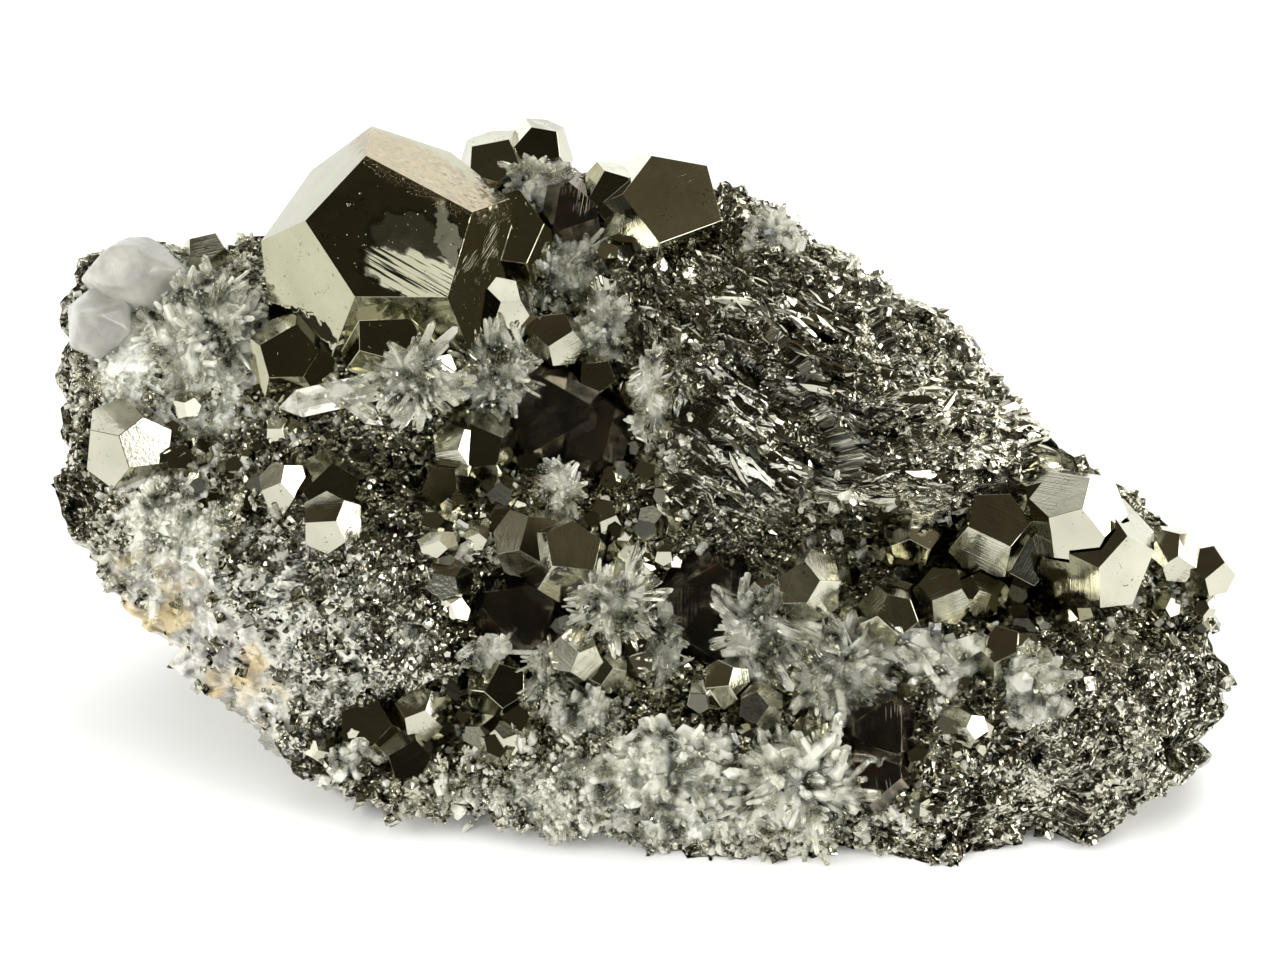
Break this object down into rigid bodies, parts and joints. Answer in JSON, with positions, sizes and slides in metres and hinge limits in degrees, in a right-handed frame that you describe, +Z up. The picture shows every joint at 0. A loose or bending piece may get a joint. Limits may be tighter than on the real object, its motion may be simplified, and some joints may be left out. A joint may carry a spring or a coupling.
{
  "type": "pyrite specimen with sphalerite and quartz",
  "caption": "Mineral hand specimen: a large pyritohedron and smaller pyrite crystals with dark sphalerite and clear quartz sprays on a rock base cut flat below",
  "frame": {"origin": "on the flat base under the specimen, below the middle of its length", "axes": "+X along the specimen's length to the viewer's right, +Y away from the viewer, +Z up from the flat base"},
  "size_m": [0.1175, 0.0639, 0.0552],
  "materials": {
    "matrix": "massive granular pyrite rock, brassy grey, semi-bright",
    "pyrite": "natural crystal faces, bright pale-brassy metal lustre",
    "sphalerite": "near-black crystal faces, resinous lustre",
    "quartz": "clear to milky natural crystal"
  },
  "bodies": {
    "root": {"matrix": "matrix", "pyrite_great_crystal": "pyrite", "pyrite_top_pair": "pyrite", "pyrite_ridge_group": "pyrite", "pyrite_left_top": "pyrite", "pyrite_left_crystal": "pyrite", "pyrite_left_mound": "pyrite", "pyrite_right_row": "pyrite", "pyrite_right_end": "pyrite", "pyrite_middle_pair": "pyrite", "pyrite_middle_small": "pyrite", "pyrite_slab": "pyrite", "pyrite_rounded_pair": "pyrite", "pyrite_pentagon": "pyrite", "pyrite_low_centre": "pyrite", "pyrite_gold_bar": "pyrite", "pyrite_striated": "pyrite", "pyrite_block": "pyrite", "pyrite_cavity": "pyrite", "pyrite_low_right": "pyrite", "pyrite_gold": "pyrite", "pyrite_low_left": "pyrite", "pyrite_foot": "pyrite", "sphalerite_middle": "sphalerite", "sphalerite_deep": "sphalerite", "sphalerite_hollow": "sphalerite", "sphalerite_ridge": "sphalerite", "sphalerite_low_right": "sphalerite", "quartz_left_mass": "quartz", "quartz_left_block": "quartz", "quartz_left_ball": "quartz", "quartz_left_crust": "quartz", "quartz_star": "quartz", "quartz_star_right": "quartz", "quartz_back_mass": "quartz", "quartz_column": "quartz", "quartz_top": "quartz", "quartz_ridge_end": "quartz", "quartz_ledge": "quartz", "quartz_spray": "quartz", "quartz_spray_tail": "quartz", "quartz_low_twins": "quartz", "quartz_low_burst": "quartz", "quartz_low_mass": "quartz", "quartz_deep": "quartz", "quartz_great_burst": "quartz", "quartz_prisms": "quartz", "quartz_blob": "quartz", "quartz_foot": "quartz", "quartz_foot_right": "quartz", "quartz_corner": "quartz", "quartz_small": "quartz", "quartz_long_prism": "quartz"}
  },
  "joints": []
}
